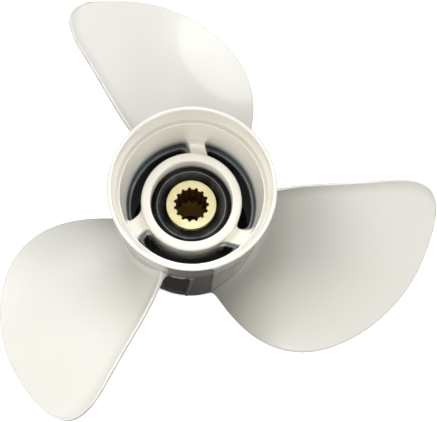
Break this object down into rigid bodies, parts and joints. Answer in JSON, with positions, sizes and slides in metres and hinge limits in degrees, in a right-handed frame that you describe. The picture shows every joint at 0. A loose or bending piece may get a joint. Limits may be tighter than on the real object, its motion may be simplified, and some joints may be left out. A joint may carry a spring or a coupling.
{
  "type": "outboard boat propeller",
  "caption": "Right-hand outboard boat propeller with exhaust through its flared hub, broad raked blades, a rubber-cushioned splined brass sleeve and gloss off-white paint.",
  "frame": {"origin": "on the propeller's axis, in the plane of the hub's front end, where the shaft enters the sleeve", "axes": "+Z along the shaft axis, pointing aft; the first blade's trailing edge root is near +X"},
  "size_m": [0.3092, 0.3112, 0.14],
  "materials": {
    "painted_casting": "gloss",
    "rubber": "satin",
    "brass": "satin"
  },
  "bodies": {
    "drive_hub": {"splined_sleeve": "brass", "rubber_bush": "rubber"},
    "propeller": {"hub_barrel": "painted_casting", "diffuser_ring": "painted_casting", "inner_hub_tube": "painted_casting", "rib_1": "painted_casting", "rib_2": "painted_casting", "rib_3": "painted_casting", "blade_1": "painted_casting", "blade_2": "painted_casting", "blade_3": "painted_casting"}
  },
  "joints": [
    {"name": "cushion_twist", "type": "hinge", "parent": "drive_hub", "child": "propeller", "pos_m": [0, 0, 0.05], "axis": [0, 0, 1], "range_deg": [-12, 12], "stiffness_Nm_per_rad": 900}
  ]
}
